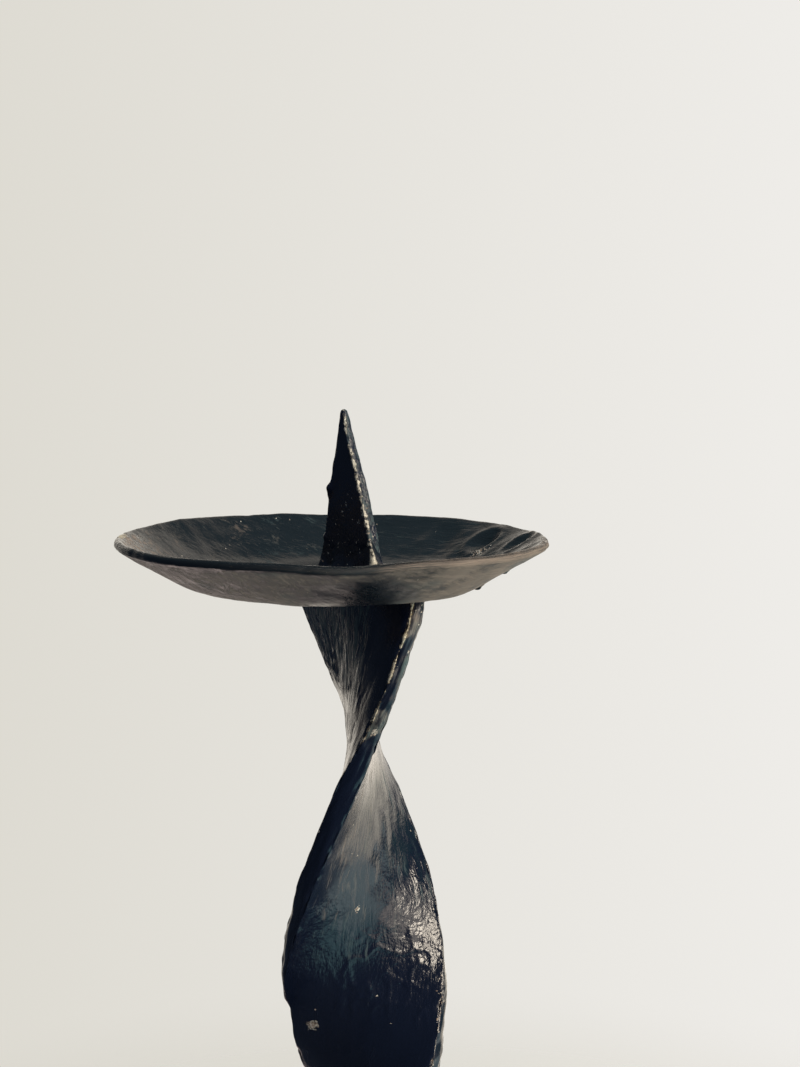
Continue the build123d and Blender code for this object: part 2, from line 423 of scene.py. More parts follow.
def patch_of_bar(across_from, across_to, along_from, along_to, soft):
    """1 inside a patch of the flat bar, fading to 0 over a soft margin, in millimetres."""
    past_across = np.maximum(np.maximum(across_from - across, across - across_to), 0)
    past_along = np.maximum(np.maximum(along_from - along, along - along_to), 0)
    return bell(np.hypot(past_across, past_along), soft)


bark = upper_face * np.maximum(patch_of_bar(-24, -4, 154, 184, 5), patch_of_bar(-10, 9, 148, 174, 5))
low_bark = bark * ramp(-along, -178, -165)
high_bark = bark - low_bark
crust = lower_face * patch_of_bar(-19, -8, 101, 126, 4)
sags = lower_face * patch_of_bar(-15, 5, 97, 112, 4)
dark_patch = lower_face * patch_of_bar(-16, -2, 127, 143, 4)
scuffs = lower_face * patch_of_bar(9, 16, 106, 124, 3)
gilt = (across > 0) * (through < 0) * patch_of_bar(-30, 30, 167, 199, 2)
print(f"rough lacquer: crust on {np.mean(crust > 0.5):.1%} of the bar, bark on {np.mean(bark > 0.5):.1%}")

# %% Hammer marks and draw lines on the flat bar
FACE_APART = 8.0
BAR_BLOWS = 170

flat_bar = np.stack([across, along, through * FACE_APART], axis=1)
draw = np.random.default_rng(11)
blow_spots = np.stack([
    draw.uniform(-20, 20, BAR_BLOWS),
    draw.uniform(0, STEM_LENGTH, BAR_BLOWS),
    draw.choice([-1, 1], BAR_BLOWS) * 3 * FACE_APART,
], axis=1)
bar_marks = -hammer(flat_bar, blow_spots, draw.uniform(5, 12, BAR_BLOWS), draw.uniform(0.10, 0.36, BAR_BLOWS))
bar_marks += 0.10 * swell(flat_bar, 7.0, 12)
bar_marks += 0.018 * swell(flat_bar, 2.4, 13)
draw_lines = swell(flat_bar * (1, 0.10, 1), 2.2, 14) * (0.5 + 0.5 * swell(flat_bar, 12.0, 18))
bar_marks += 0.03 * draw_lines
print(f"hammer marks from {bar_marks.min():.2f} to {bar_marks.max():.2f} mm")

# %% Bark, wrinkles, lumpy edges and nicks on the flat bar
strand = crease(flat_bar * (1, 0.20, 1), 2.4, 131)
fine_strand = crease(flat_bar * (1, 0.14, 1), 1.6, 144)
bark_lumps = 0.05 * swell(flat_bar * (1, 0.35, 1), 1.4, 132)
bar_marks += high_bark * (0.26 * strand + 0.14 * fine_strand - 0.08 + bark_lumps)
bar_marks -= low_bark * (0.32 * strand ** 2 + 0.18 * fine_strand ** 2)
bar_marks += 0.26 * sags * crease(flat_bar * (1, 0.8, 1), 3.6, 133)
bar_marks += 0.05 * crust * swell(flat_bar, 1.5, 134)
bar_marks += 0.17 * dark_patch * swell(flat_bar * (1, 0.6, 1), 2.8, 135)
bar_marks += 0.10 * scuffs * crease(flat_bar * (1, 0.4, 1), 2.0, 138)

edge_place = np.stack([np.sign(across) * 40, along, through], axis=1)
bar_marks += 0.08 * on_edge * swell(edge_place, 2.8, 136)
low_edge = on_edge * (across < 0) * (1 - ramp(along, 100, 108))
bar_marks += low_edge * (0.08 * swell(edge_place, 3.6, 146) + 0.09 * swell(edge_place, 1.4, 145))
bar_marks += 0.20 * gilt * arris * np.clip(swell(edge_place, 1.3, 137), -0.4, 1.2)
bar_marks += 0.20 * on_edge * (across > 0) * ramp(along, 160, 168) * swell(edge_place, 2.0, 142)
nicks = np.clip(swell(flat_bar, 2.6, 15) - 0.35, 0, None)
nicks += 0.7 * np.clip(swell(flat_bar, 1.4, 16) - 0.6, 0, None)
bar_marks -= 0.55 * arris * nicks
print(f"all bar marks from {bar_marks.min():.2f} to {bar_marks.max():.2f} mm")

# %% Twist the marked bar
FOOT_HEIGHT = 17.0
TWIST = 270.0
TWIST_EASE = 9.0
BAR_TOP_ANGLE = -48.0
PAN_TILT = math.radians(1.0)
SET_IN_DEPTH = 1.3
SET_IN_TOP = 97.5
SET_IN_END = 70.0


def bar_angle(height):
    """Turn of the bar's broad faces at a height above the foot: the twist slows towards both ends."""
    ease = TWIST_EASE * np.sin(2 * math.pi * (height / STEM_LENGTH - 0.5))
    return np.radians(BAR_TOP_ANGLE + TWIST * (height / STEM_LENGTH - 1) + ease)


def twisted(across, through, height):
    """Points of the flat bar, carried round by the twist."""
    angle = bar_angle(height)
    x = across * np.cos(angle) - through * np.sin(angle)
    y = across * np.sin(angle) + through * np.cos(angle)
    return np.stack([x, y, FOOT_HEIGHT + height], axis=1)


edge_wander = 0.30 * swell(np.stack([along, np.sign(across) * 40], axis=1), 9.0, 17)
set_in_start = np.clip((SET_IN_TOP - along) / 3, 0, 1)
set_in = SET_IN_DEPTH * set_in_start * np.clip((along - SET_IN_END) / 22, 0, 1) * (across > 0)
edge_share = np.clip((np.abs(across) - 13) / 6.5, 0, 1) ** 2
set_in_share = np.clip((np.abs(across) - 17) / 2.5, 0, 1) ** 1.5
worn_across = across + np.tile(facing[:, 0], bar_rings) * bar_marks
worn_across += np.sign(across) * (edge_share * edge_wander - set_in_share * set_in)
worn_through = through + np.tile(facing[:, 1], bar_rings) * bar_marks
bar_surface = twisted(worn_across, worn_through, along)
bar_surface[:, 2] -= bar_surface[:, 0] * math.tan(PAN_TILT) * (along / STEM_LENGTH) ** 8
print(f"twisted from {np.degrees(bar_angle(0)):.0f} to {np.degrees(bar_angle(STEM_LENGTH)):.0f} degrees")

# %% Tenons at both ends of the bar
TENON_WIDTH = 21.0
TENON_THICKNESS = 5.0
TENON_CORNER = 0.3
UPPER_TENON = 2.0
LOWER_TENON = 6.5

tenon_across = sides[:, 0] * (TENON_WIDTH / 2 - TENON_CORNER) + facing[:, 0] * TENON_CORNER
tenon_through = sides[:, 1] * (TENON_THICKNESS / 2 - TENON_CORNER) + facing[:, 1] * TENON_CORNER
foot_tenon = twisted(tenon_across, tenon_through, np.zeros(bar_points))
seat_tenon = twisted(tenon_across, tenon_through, np.full(bar_points, STEM_LENGTH))
stem_points = np.concatenate([
    foot_tenon - (0, 0, LOWER_TENON), foot_tenon, bar_surface, seat_tenon, seat_tenon + (0, 0, UPPER_TENON),
])
stem_faces = closed_tube(bar_rings + 4, bar_points)


def with_tenons(values):
    """Marks of the bar's rings, with the first and last ring's marks copied onto the tenons."""
    first, last = values[:bar_points], values[-bar_points:]
    return np.concatenate([first, first, values, last, last])


print(f"bar with tenons: {stem_points[:, 2].min():.1f} to {stem_points[:, 2].max():.1f} mm high")

# %% [markdown]
# ## Age on the bar
# Handling has worn the lacquer off the arrises, a dry bloom lies over parts of both faces, and crumbs have
# chipped off. Some of these marks also carry painted light: bright beads on the low arris paint its glints,
# blooms on the lower face paint its pale and teal reflections, and a slate bloom at the top paints the shade
# under the pan. Such marks could be painted by hand on an image. Here they are numbers on the points of the mesh,
# worked out from where each point lies on the flat bar, and the finish reads them and breaks them up finely.

# %% Worn arrises of the bar, and a painted highlight on the low arris
edge_side = np.stack([along, np.sign(across) * 40, np.sign(through) * 40], axis=1)
worn_and_glint_stretch = np.clip(swell(edge_side, 12.0, 19) - 0.4, 0, 0.45)
# Worn iron and painted highlight: bright bare beads along the low arris stand for the chain of glints on it
low_wear_and_glint = (across < 0) * (through > 0) * patch_of_bar(-30, 30, 84, 101, 2)
low_wear_and_glint_beads = np.clip(0.30 + 0.4 * swell(edge_place, 1.8, 140), 0.1, 0.9)
worn_and_glint_stretch = np.maximum(worn_and_glint_stretch, low_wear_and_glint * low_wear_and_glint_beads)
gilt_beads = np.clip(0.90 + 0.15 * swell(edge_place, 2.6, 139) + 0.22 * swell(edge_place, 0.9, 143), 0.45, 1)
bar_wear_and_glint = np.maximum(arris ** 1.5 * worn_and_glint_stretch, bell(corner_gap, 0.85) * gilt * gilt_beads)
print(f"lacquer worn on {np.mean(bar_wear_and_glint > 0.5):.1%} of the bar")

# %% Dry bloom, grit and chips of the bar
# Bloom on the lower face, which also paints its pale and teal reflections: its strength, and where it lies across and
# along the bar
FAN_BLOOMS_AND_REFLECTIONS = ((0.54, 3, 14, 136, 168, 4), (0.43, -6, 14, 110, 134, 5))
# Bare spots: place across, along and through the flat bar, and reach
CHIPS = (
    (12.6, 90.4, 3.0, 1.10), (3.6, 121.8, 3.0, 0.6), (-12.0, 60.0, -3.0, 1.5), (8.0, 40.0, 3.0, 0.7),
    (20.5, 169.0, 0.6, 0.75),
)

upper_band = on_edge * (across > 0) * patch_of_bar(-30, 30, 168, 200, 4)
band_low = ramp(-along, -188, -174)
blotches = np.clip(swell(edge_place, 2.8, 141), -0.7, 1)
bar_bloom_and_light = 0.10 + upper_band * (0.32 + 0.18 * band_low + 0.55 * blotches)
bar_bloom_and_light = np.maximum(bar_bloom_and_light, high_bark * (0.12 + 0.58 * strand) + low_bark * (0.60 - 0.60 * strand))
# Painted shade: a slate bloom at the top of the upper face paints the dark teal under the pan
teal_shade_under_pan = upper_face * patch_of_bar(-17, 6, 178, 200, 5)
bar_bloom_and_light = np.maximum(bar_bloom_and_light, 0.78 * teal_shade_under_pan)
for strength, *edges in FAN_BLOOMS_AND_REFLECTIONS:
    bar_bloom_and_light = np.maximum(bar_bloom_and_light, strength * lower_face * patch_of_bar(*edges))
# Painted reflection: a slate bloom down the right of the lower face paints its teal, thinned over the dark patch so
# that patch reads darker
dark_lumps = dark_patch * np.clip(0.55 + 0.7 * swell(flat_bar * (1, 0.6, 1), 3.2, 147), 0, 1)
side_bloom_and_reflection = 0.52 * lower_face * patch_of_bar(-22, -5, 122, 150, 5)
bar_bloom_and_light = np.maximum(bar_bloom_and_light, side_bloom_and_reflection * (1 - 0.5 * dark_lumps))

# Slate tint over the lower face: the teal of its painted reflection
fan_slate_reflection = 0.7 * lower_face * np.maximum((across < -2), ramp(-along, -126, -112))
bar_tint = 0.3 + 0.35 * upper_band + 0.7 * teal_shade_under_pan - 0.3 * low_bark + 0.2 * high_bark + fan_slate_reflection
bar_grit = 0.22 + 0.6 * crust + 0.6 * sags + 0.5 * high_bark + 0.1 * low_bark + 0.4 * dark_patch + 0.6 * scuffs
chips = 0.0002 + 0.0004 * lower_face * (along < 104) + 0.012 * upper_band * (along > 184)
# Pale chips along the low arris belong to the same painted highlight
chips = chips + 0.40 * low_wear_and_glint * bell(corner_gap, 0.6) * np.clip(0.4 + swell(edge_place, 2.4, 148), 0, 1)
for chip_across, chip_along, chip_through, reach in CHIPS:
    gap = np.sqrt((across - chip_across) ** 2 + (along - chip_along) ** 2 + (through - chip_through) ** 2)
    chips = np.maximum(chips, np.clip(1.6 - gap / reach, 0, 1))

bar_notes = {
    "flow": np.stack([across, along, through], axis=1), "wear_and_glint": bar_wear_and_glint, "bloom_and_painted_light": bar_bloom_and_light,
    "tint": np.clip(bar_tint, 0, 1), "grit": np.clip(bar_grit, 0, 1), "dull": 0.30 * upper_band, "chips": chips,
}
stem_notes = {label: with_tenons(values) for label, values in bar_notes.items()}
stem = piece("twisted_bar", stem_points, stem_faces, stem_notes, "lacquered_bar", "stem_bar")

# %% [markdown]
# ## Dishes: the drip pan and the foot
# Both dishes are discs of plate beaten into a hollow. A lathe modifier would give them their profile, but not
# the hammer work. One helper lays the plate's middle line from the centre to the lip, and the two skins are set
# half a plate to either side of it. A hammer blow moves the whole plate, so the dents are worked out on the
# middle line and shift both skins together, as on the real thing.

# %% Helpers for a dish's line and skins
def dish_line(floor_radius, bend_radius, slope, radius, plate, lip_round, spacing):
    """Radius, height and slope of a dish plate's middle line, from its centre out to its lip."""
    bend_radius = bend_radius - plate / 2
    bend_length = bend_radius * slope
    wall_length = (radius - floor_radius - (bend_radius + plate / 2) * math.sin(slope)) / math.cos(slope)
    reach = floor_radius + bend_length + wall_length - lip_round
    travel = np.linspace(0, reach, int(reach / spacing) + 1)[1:]
    lean = np.clip((travel - floor_radius) / bend_radius, 0, slope)
    wall = np.clip(travel - floor_radius - bend_length, 0, None)
    out = np.minimum(travel, floor_radius) + bend_radius * np.sin(lean) + wall * math.cos(slope)
    rise = plate / 2 + bend_radius * (1 - np.cos(lean)) + wall * math.sin(slope)
    return out, rise, lean


def dish_skins(line, plate, lip_round, lip_points=7):
    """Both skins of a dish as one run: under the plate, round the lip and back over it.

    Gives the run's place on the middle line and each point's offset from it, up and outward.
    """
    count = len(line[0])
    under = np.arange(count)
    place = np.concatenate([under, np.full(lip_points, count - 1), under[::-1]])
    turn = np.linspace(-math.pi / 2, math.pi / 2, lip_points + 2)[1:-1]
    up = np.concatenate([np.full(count, -1.0), np.sin(turn), np.full(count, 1.0)]) * plate / 2
    outward = np.concatenate([np.zeros(count), np.cos(turn), np.zeros(count)]) * lip_round
    return place, up, outward


def dish_grid(line, plate, lip_round, around):
    """The skins carried round: bearing, radius and slope, offsets up and outward, and place on the middle line."""
    place, up, outward = dish_skins(line, plate, lip_round)
    bearing = np.tile(np.linspace(0, 2 * math.pi, around, endpoint=False), len(place))
    out, rise, lean = (np.repeat(values[place], around) for values in line)
    plate_middle = np.stack([out * np.cos(bearing), out * np.sin(bearing), rise], axis=1)
    return bearing, out, lean, np.repeat(up, around), np.repeat(outward, around), plate_middle


print("a dish line of 5 mm steps:", len(dish_line(27.0, 22.0, 0.5, 51.7, 2.0, 0.7, 5.0)[0]), "points")

# %% Helpers for a dish's blows, points and faces
upward = np.array((0.0, 0.0, 1.0))


def dish_blows(line, plate_middle, seed, count, reach, clear, radii, depths):
    """How far hammer blows have sunk a dish. The blows are spread evenly outside a clear share of its area."""
    draw = np.random.default_rng(seed)
    blow_out = reach * np.sqrt(draw.uniform(clear, 1, count))
    blow_bearing = draw.uniform(0, 2 * math.pi, count)
    blow_rise = np.interp(blow_out, line[0], line[1])
    spots = np.stack([blow_out * np.cos(blow_bearing), blow_out * np.sin(blow_bearing), blow_rise], axis=1)
    return hammer(plate_middle, spots, draw.uniform(*radii, count), draw.uniform(*depths, count))


def dish_points(bearing, lean, plate_middle, lift, spread, plate):
    """Points of both skins, lifted and spread from the middle line, and a middle point under and over them."""
    radial = np.stack([np.cos(bearing), np.sin(bearing), 0 * bearing], axis=1)
    plate_up = upward * np.cos(lean)[:, None] - radial * np.sin(lean)[:, None]
    plate_out = radial * np.cos(lean)[:, None] + upward * np.sin(lean)[:, None]
    skins = plate_middle + plate_up * lift[:, None] + plate_out * spread[:, None]
    return np.concatenate([skins, [(0, 0, 0), (0, 0, plate)]])


def dish_faces(rings, around):
    """Quads between the rings, and a fan to a middle point under and over the plate."""
    faces = ring_faces(rings, around)
    under, over = rings * around, rings * around + 1
    last = (rings - 1) * around
    for step in range(around):
        after = (step + 1) % around
        faces.append((under, after, step))
        faces.append((over, last + step, last + after))
    return faces


def with_middles(values):
    """Marks of a dish's rings, with the first and last point's marks copied onto the two middle points."""
    return np.concatenate([values, values[:1], values[-1:]])


print("faces of a dish of 3 rings of 4 points:", len(dish_faces(3, 4)))

# %% Drip pan: middle line, hammer blows and wobble
PAN_RADIUS = 51.7
PAN_PLATE = 2.0
PAN_FLOOR_RADIUS = 27.0
PAN_BEND_RADIUS = 22.0
PAN_SLOPE = math.radians(30.0)
PAN_LIP_ROUND = 0.7
PAN_OFFSET = -6.0
PAN_AROUND = 440
PAN_SPACING = 0.62
PAN_BLOWS = 240

pan_line = dish_line(
    PAN_FLOOR_RADIUS, PAN_BEND_RADIUS, PAN_SLOPE, PAN_RADIUS, PAN_PLATE, PAN_LIP_ROUND, PAN_SPACING,
)
pan_lip = pan_line[0][-1]
bearing, out, lean, skin_up, skin_out, plate_middle = dish_grid(pan_line, PAN_PLATE, PAN_LIP_ROUND, PAN_AROUND)
pan_rings = len(out) // PAN_AROUND
pan_marks = -dish_blows(pan_line, plate_middle, 21, PAN_BLOWS, 52, 0.12, (5, 11), (0.08, 0.26))
pan_marks *= np.clip((out - 18) / 10, 0.1, 1)
pan_marks += 0.16 * swell(plate_middle, 13.0, 22)
lip_share = np.clip((out - 36) / 14, 0, 1) ** 2
pan_marks += 0.30 * lip_share * swell(plate_middle, 22.0, 23)
print(f"pan: {pan_rings} rings of {PAN_AROUND} points, marks {pan_marks.min():.2f} to {pan_marks.max():.2f} mm")

# %% Drip pan: deep dents on the right, rough skins and a nicked lip
# Radius and bearing of each dent's middle, half length and width, turn, depth
DEEP_DENTS = (
    (44.2, 30, 3.0, 2.7, 30, 1.30), (46.4, 10, 2.9, 2.4, 20, 1.20), (41.5, 47, 5.5, 3.2, 75, 0.55),
    (40.0, 12, 5.0, 3.0, 40, 0.45), (46.5, -9, 4.0, 2.6, 20, 0.45), (45.0, 150, 6.0, 3.0, 120, 0.35),
)
for dent_out, dent_bearing, dent_long, dent_wide, dent_turn, dent_depth in DEEP_DENTS:
    centre = dent_out * np.array((math.cos(math.radians(dent_bearing)), math.sin(math.radians(dent_bearing))))
    turn = math.radians(dent_turn)
    shift = plate_middle[:, :2] - centre
    dent_along = shift @ (math.cos(turn), math.sin(turn))
    dent_across = shift @ (-math.sin(turn), math.cos(turn))
    dent_away = np.hypot(dent_along / dent_long, dent_across / dent_wide)
    pan_marks -= dent_depth * (bell(dent_away, 1) - 0.35 * bell(dent_away - 1.7, 0.45))
over_side = skin_up > 0
rough = plate_middle + np.stack([0 * out, 0 * out, skin_up * 30], axis=1)
skin_marks = 0.03 * swell(rough, 2.2, 24) + 0.015 * swell(rough, 1.3, 25)
on_lip = bell(out - pan_lip, 1.4)
lip_nicks = np.clip(swell(plate_middle, 3.4, 26) - 0.35, 0, None) * 0.28 * on_lip
lift = skin_up + pan_marks + np.where(over_side, 1, -1) * skin_marks
pan_local = dish_points(bearing, lean, plate_middle, lift, skin_out - lip_nicks, PAN_PLATE)

pan_across = np.array((math.cos(PAN_TILT), 0, -math.sin(PAN_TILT)))
pan_up = np.array((math.sin(PAN_TILT), 0, math.cos(PAN_TILT)))
pan_axes = np.stack([pan_across, (0, 1, 0), pan_up])
seat_middle = np.array((0, 0, FOOT_HEIGHT + STEM_LENGTH))
pan_points = seat_middle + pan_across * PAN_OFFSET + pan_local @ pan_axes
print(f"pan: {pan_points[:, 2].min():.1f} to {pan_points[:, 2].max():.1f} mm high")

# %% Drip pan: dry bloom inside and underneath, and painted shade behind the stem
def off_bearing(degrees_round):
    """Angle between each point's bearing and a given one, in degrees."""
    return np.degrees(np.arccos(np.clip(np.cos(bearing - math.radians(degrees_round)), -1, 1)))


BRUSH_TURN = math.radians(-32)
brush = np.stack([
    rough[:, 0] * math.cos(BRUSH_TURN) + rough[:, 1] * math.sin(BRUSH_TURN),
    rough[:, 1] * math.cos(BRUSH_TURN) - rough[:, 0] * math.sin(BRUSH_TURN),
    rough[:, 2],
], axis=1)
left_side = bell(off_bearing(180), 43) * np.clip((out - 26) / 10, 0, 1)
left_end = bell(off_bearing(184), 26) * np.clip((out - 36) / 8, 0, 1)
right_side = bell(off_bearing(0), 29) * np.clip((out - 40) / 8, 0, 1)
back_wall = bell(off_bearing(118), 38) * np.clip((out - 34) / 6, 0, 1)
inside_haze = np.maximum.reduce([
    0.66 * left_side, 1.0 * left_end, 0.55 * right_side, 0.45 * back_wall, 0.38 + 0 * out,
])
# Painted shade: behind the stem the underside loses most of its bloom and turns calm and slate, so it reads dark
# there
stem_shade_under_pan = bell(off_bearing(-80), 14) * (1 - ramp(out, 42, 51))
mottle = swell(plate_middle, 6.0, 28)
radial_place = np.stack([30 * np.cos(bearing), 30 * np.sin(bearing), 0.15 * out], axis=1)
drag = crease(radial_place, 3.0, 29)
under_bloom_and_shade = 0.95 + 0.05 * mottle - 0.22 * drag * bell(off_bearing(-155), 45) - 0.70 * stem_shade_under_pan
pan_bloom_and_shade = np.where(over_side, inside_haze, under_bloom_and_shade)
lip_edge = bell(out - pan_lip, 0.7)
lip_pale = np.clip(1.3 * bell(off_bearing(-35), 48), 0, 1)
pan_bloom_and_shade = np.maximum(pan_bloom_and_shade * (1 - 0.9 * lip_edge * (1 - lip_pale)), 0.85 * lip_edge * lip_pale)
hatch = crease(brush * (0.10, 1, 1), 2.2, 30) * over_side * np.maximum(left_end, 0.6 * left_side)
pan_bloom_and_shade = pan_bloom_and_shade * (1 - 0.75 * hatch)
print(f"bloom on {np.mean(pan_bloom_and_shade > 0.5):.0%} of the pan")

# %% Drip pan: tint, wear, grit and chips
FLECK_RADIUS = 41.0
FLECK_BEARING = math.radians(25)

inside_tint = np.clip(1 - left_side - 0.4 * back_wall - 0.5 * right_side, 0, 1)
# The slate tint behind the stem is part of that painted shade
under_tint = np.clip(stem_shade_under_pan + 0.3 * mottle * bell(off_bearing(-150), 50), 0, 1)
pan_tint = np.where(over_side, inside_tint, under_tint) * (1 - lip_edge * lip_pale)
under_dull = (0.40 + 0.45 * bell(off_bearing(-50), 55)) * (1 - 0.9 * stem_shade_under_pan)
left_tip = bell(off_bearing(180), 9)
lip_wear = on_lip * np.clip(0.85 * left_tip + np.clip(swell(plate_middle, 5.0, 27) - 1.3, 0, 0.45), 0, 1)
fleck_place = FLECK_RADIUS * np.array((math.cos(FLECK_BEARING), math.sin(FLECK_BEARING)))
flecks = np.hypot(plate_middle[:, 0] - fleck_place[0], plate_middle[:, 1] - fleck_place[1])
dish_notes = {
    "flow": np.where(over_side[:, None], brush[:, [1, 0, 2]], brush),
    "wear_and_glint": lip_wear,
    "bloom_and_painted_light": pan_bloom_and_shade,
    "tint": pan_tint,
    "grit": np.where(over_side, 0.25 + 0.5 * right_side, 0.25 + 0.4 * right_side),
    "dull": np.where(over_side, 0.0, under_dull),
    "smooth": stem_shade_under_pan * (1 - over_side),
    "chips": 0.0003 + 0.45 * bell(flecks, 2.0) * over_side,
}
pan = piece("hammered_drip_pan", pan_points, dish_faces(pan_rings, PAN_AROUND),
            {label: with_middles(values) for label, values in dish_notes.items()}, "lacquered_plate", "drip_pan")

# %% [markdown]
# ## Runs of lacquer
# Thick lacquer runs down a dish before it sets, and a few drops stay hanging under the pan. They could be
# metaballs that melt into the plate, but each is small enough to be one short tube of rings, wide where it
# leaves the plate and round at its tip.

# %% Drops under the pan
# Radius and bearing of each drop under the pan, its half width and how far it hangs
RUNS = (
    (35.2, -18, 0.95, 0.85), (40.8, -12, 0.70, 0.55), (44.5, 4, 0.60, 0.40), (39.5, 75, 0.80, 0.60),
    (36.5, 150, 0.70, 0.50),
)
RUN_WIDTHS = np.array((0.22, 0.55, 0.80, 0.95, 1.05, 1.15, 1.35, 1.80))
RUN_DROPS = np.array((1.02, 0.95, 0.80, 0.62, 0.42, 0.20, 0.0, -0.45))
RUN_AROUND = 18

run_turn = np.linspace(0, 2 * math.pi, RUN_AROUND, endpoint=False)
run_ring = np.stack([np.cos(run_turn), np.sin(run_turn), 0 * run_turn], axis=1)
run_local, run_faces = [], []
for run_out, run_bearing, reach, hang in RUNS:
    away = np.array((math.cos(math.radians(run_bearing)), math.sin(math.radians(run_bearing)), 0))
    run_lean = np.interp(run_out, pan_line[0], pan_line[2])
    skin = away * (run_out + math.sin(run_lean) * PAN_PLATE / 2)
    skin = skin + upward * (np.interp(run_out, pan_line[0], pan_line[1]) - math.cos(run_lean) * PAN_PLATE / 2)
    first = len(run_local) * len(RUN_WIDTHS) * RUN_AROUND
    drop = skin + reach * RUN_WIDTHS[:, None, None] * run_ring - hang * RUN_DROPS[:, None, None] * upward
    run_local.append(drop.reshape(-1, 3))
    run_faces += [[first + corner for corner in face] for face in ring_faces(len(RUN_WIDTHS), RUN_AROUND)]
    run_faces.append([first + corner for corner in range(RUN_AROUND)][::-1])
run_local = np.concatenate(run_local)
run_points = seat_middle + pan_across * PAN_OFFSET + run_local @ pan_axes
runs = piece("lacquer_runs", run_points, run_faces, {"flow": run_local, "bloom_and_painted_light": 0.5, "grit": 0.2}, "lacquered_plate")

# %% [markdown]
# ## Foot
# The foot is the same work as the pan in thicker plate, turned upside down, with the bar's tenon through its
# crown. The helpers of the pan make it too. Its blows are deeper, because it was beaten over the edge of a block.

# %% Foot: a thicker dish, upside down
FOOT_RADIUS = 60.0
FOOT_PLATE = 3.0
FOOT_CROWN_RADIUS = 24.0
FOOT_BEND_RADIUS = 35.0
FOOT_SLOPE = math.radians(31.0)
FOOT_LIP_ROUND = 0.8
FOOT_AROUND = 400
FOOT_SPACING = 0.9
FOOT_BLOWS = 230
FOOT_BRUSH = np.array(((0.8, 0.6, 0), (-0.6, 0.8, 0), (0, 0, 1)))

foot_line = dish_line(
    FOOT_CROWN_RADIUS, FOOT_BEND_RADIUS, FOOT_SLOPE, FOOT_RADIUS, FOOT_PLATE, FOOT_LIP_ROUND, FOOT_SPACING,
)
bearing, out, lean, skin_up, skin_out, plate_middle = dish_grid(foot_line, FOOT_PLATE, FOOT_LIP_ROUND, FOOT_AROUND)
foot_rings = len(out) // FOOT_AROUND
foot_marks = dish_blows(foot_line, plate_middle, 31, FOOT_BLOWS, 60, 0.16, (5, 10), (0.12, 0.42))
foot_marks *= np.clip((out - 20) / 8, 0.1, 1)
foot_marks += 0.18 * swell(plate_middle, 14.0, 32)
rough = plate_middle + np.stack([0 * out, 0 * out, skin_up * 20], axis=1)
skin_marks = 0.06 * swell(rough, 2.4, 33) + 0.03 * swell(rough, 1.4, 34)
lift = skin_up + foot_marks + np.where(skin_up > 0, 1, -1) * skin_marks
foot_local = dish_points(bearing, lean, plate_middle, lift, skin_out, FOOT_PLATE)
foot_points = foot_local * (1, -1, -1) + (0, 0, FOOT_HEIGHT)
foot_points[:, 2] = np.maximum(foot_points[:, 2], 0)
foot_wear = bell(out - foot_line[0][-1], 2.0) * np.clip(swell(plate_middle, 6.0, 35) - 0.3, 0, 0.6)
foot_notes = {
    "flow": with_middles(rough @ FOOT_BRUSH), "wear_and_glint": with_middles(foot_wear), "bloom_and_painted_light": 0.35, "chips": 0.0008,
}
foot = piece("hammered_foot", foot_points, dish_faces(foot_rings, FOOT_AROUND), foot_notes,
             "lacquered_plate", "foot_dish")

# %% [markdown]
# ## The pricket
# The spike is a flat blade drawn out to a blunt point, standing in line with the bar's top. A scaled box would
# do from afar. Rings of the same flat-iron section, narrower level by level, let it lean a little, keep its
# faces uneven from the hammer, and carry a bead of spatter on one edge.

# %% Blade of the spike
SPIKE_LEVELS = (0, 21.4, 35.0, 39.3, 40.1, 40.4)
SPIKE_WIDTHS = (20.5, 11.2, 3.3, 1.75, 1.30, 0.45)
SPIKE_THICKNESSES = (3.6, 2.9, 2.4, 1.75, 1.30, 0.45)
SPIKE_ARRIS = 0.55
SPIKE_OFFSET = -1.0
SPIKE_LEAN = math.radians(3.2)


def blade(height, grow):
    """Half width, half thickness and corner of the spike at a height, grown by a margin."""
    half_width = np.interp(height, SPIKE_LEVELS, SPIKE_WIDTHS) / 2 + grow
    half_thickness = np.interp(height, SPIKE_LEVELS, SPIKE_THICKNESSES) / 2 + grow
    corner = np.minimum(SPIKE_ARRIS + np.maximum(grow, 0), 0.8 * half_thickness)
    return half_width, half_thickness, corner


bar_top = math.radians(BAR_TOP_ANGLE)
blade_along = pan_across * math.cos(bar_top) + np.array((0, math.sin(bar_top), 0))
blade_through = np.cross(pan_up, blade_along)


def stand_blade(across, through, height):
    """Points of the spike or its weld, set up on the pan's floor in line with the bar's top."""
    drift = SPIKE_OFFSET - height * math.tan(SPIKE_LEAN)
    foot = seat_middle + drift[:, None] * pan_across + (PAN_PLATE + height)[:, None] * pan_up
    return foot + across[:, None] * blade_along + through[:, None] * blade_through


sides, facing = iron_ring(40, 12)
spike_around = len(sides)
spike_heights = np.concatenate([np.linspace(0, 38.5, 190), np.linspace(38.7, 40.4, 14)])
spike_rings = len(spike_heights)
height = np.repeat(spike_heights, spike_around)
side_across, side_through, face_across, face_through = stacked(sides, facing, spike_rings)
half_wide, half_thick, corner = blade(height, 0)
blade_across = side_across * (half_wide - corner) + face_across * corner
blade_depth = side_through * (half_thick - corner) + face_through * corner
print(f"spike: {spike_rings} rings of {spike_around} points")

# %% Hammer marks and spatter on the spike
SPIKE_BLOWS = 46
# Beads of spatter: place across, up and through the blade, reach, height
SPATTER = ((-5.7, 21.6, -1.2, 1.25, 1.05), (-6.2, 19.8, -1.2, 0.9, 0.45), (-8.2, 9.5, -1.4, 0.8, 0.4))

